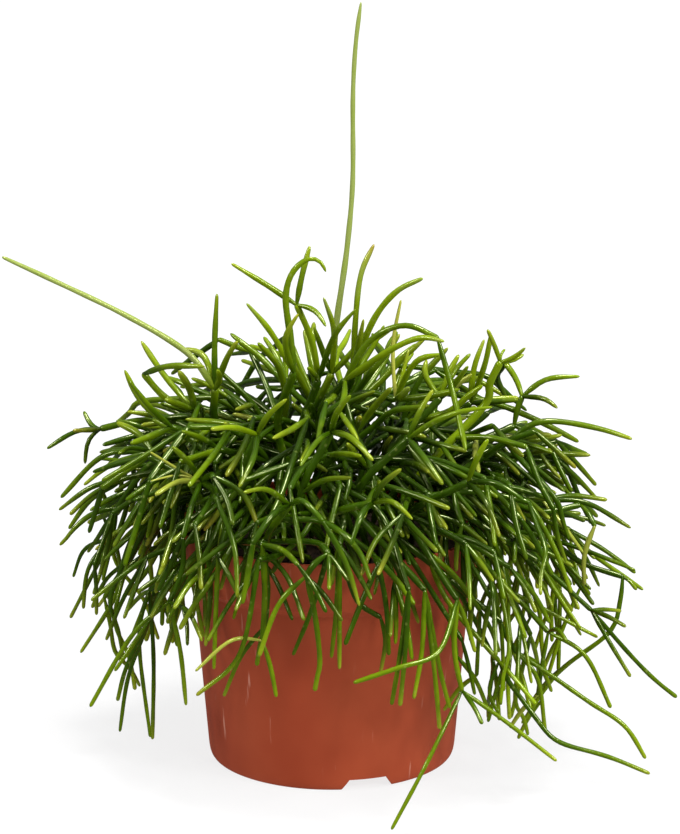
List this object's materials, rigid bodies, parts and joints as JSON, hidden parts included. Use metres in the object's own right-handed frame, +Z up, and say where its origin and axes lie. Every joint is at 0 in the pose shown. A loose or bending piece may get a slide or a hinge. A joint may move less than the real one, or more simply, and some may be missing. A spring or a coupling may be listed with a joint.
{
  "type": "potted mistletoe cactus",
  "caption": "Bushy mound of thin, leafless, forking green stems that arch out of a plain round plastic plant pot and trail over its rim.",
  "frame": {"origin": "middle of the pot's foot, on the surface that the pot stands on", "axes": "+Z up along the pot's axis, -Y towards the front, +X to the right seen from the front"},
  "size_m": [0.2546, 0.1919, 0.2931],
  "materials": {
    "terracotta_plastic": "moulded terracotta-coloured plastic, half matt, lightly scuffed",
    "potting_soil": "dark crumbly peat",
    "green_stem": "smooth, waxy, semi-gloss green"
  },
  "bodies": {
    "root": {"pot": "terracotta_plastic", "soil": "potting_soil", "spray_01": "green_stem", "spray_02": "green_stem", "spray_03": "green_stem", "spray_04": "green_stem", "spray_05": "green_stem", "spray_06": "green_stem", "spray_07": "green_stem", "spray_08": "green_stem", "spray_09": "green_stem", "spray_10": "green_stem", "spray_11": "green_stem", "spray_12": "green_stem", "spray_13": "green_stem", "spray_14": "green_stem", "spray_15": "green_stem", "spray_16": "green_stem", "spray_17": "green_stem", "spray_18": "green_stem", "spray_19": "green_stem", "spray_20": "green_stem", "spray_21": "green_stem", "spray_22": "green_stem", "spray_23": "green_stem", "spray_24": "green_stem", "spray_25": "green_stem", "spray_26": "green_stem", "spray_27": "green_stem", "spray_28": "green_stem", "spray_29": "green_stem", "spray_30": "green_stem", "spray_31": "green_stem", "spray_32": "green_stem", "spray_33": "green_stem", "spray_34": "green_stem", "spray_35": "green_stem", "spray_36": "green_stem", "spray_37": "green_stem", "spray_38": "green_stem", "spray_39": "green_stem", "spray_40": "green_stem", "spray_41": "green_stem", "spray_42": "green_stem", "spray_43": "green_stem", "spray_44": "green_stem", "spray_45": "green_stem", "spray_46": "green_stem", "spray_47": "green_stem", "spray_48": "green_stem", "spray_49": "green_stem", "spray_50": "green_stem", "spray_51": "green_stem", "spray_52": "green_stem", "spray_53": "green_stem", "spray_54": "green_stem", "spray_55": "green_stem", "spray_56": "green_stem"}
  },
  "joints": []
}
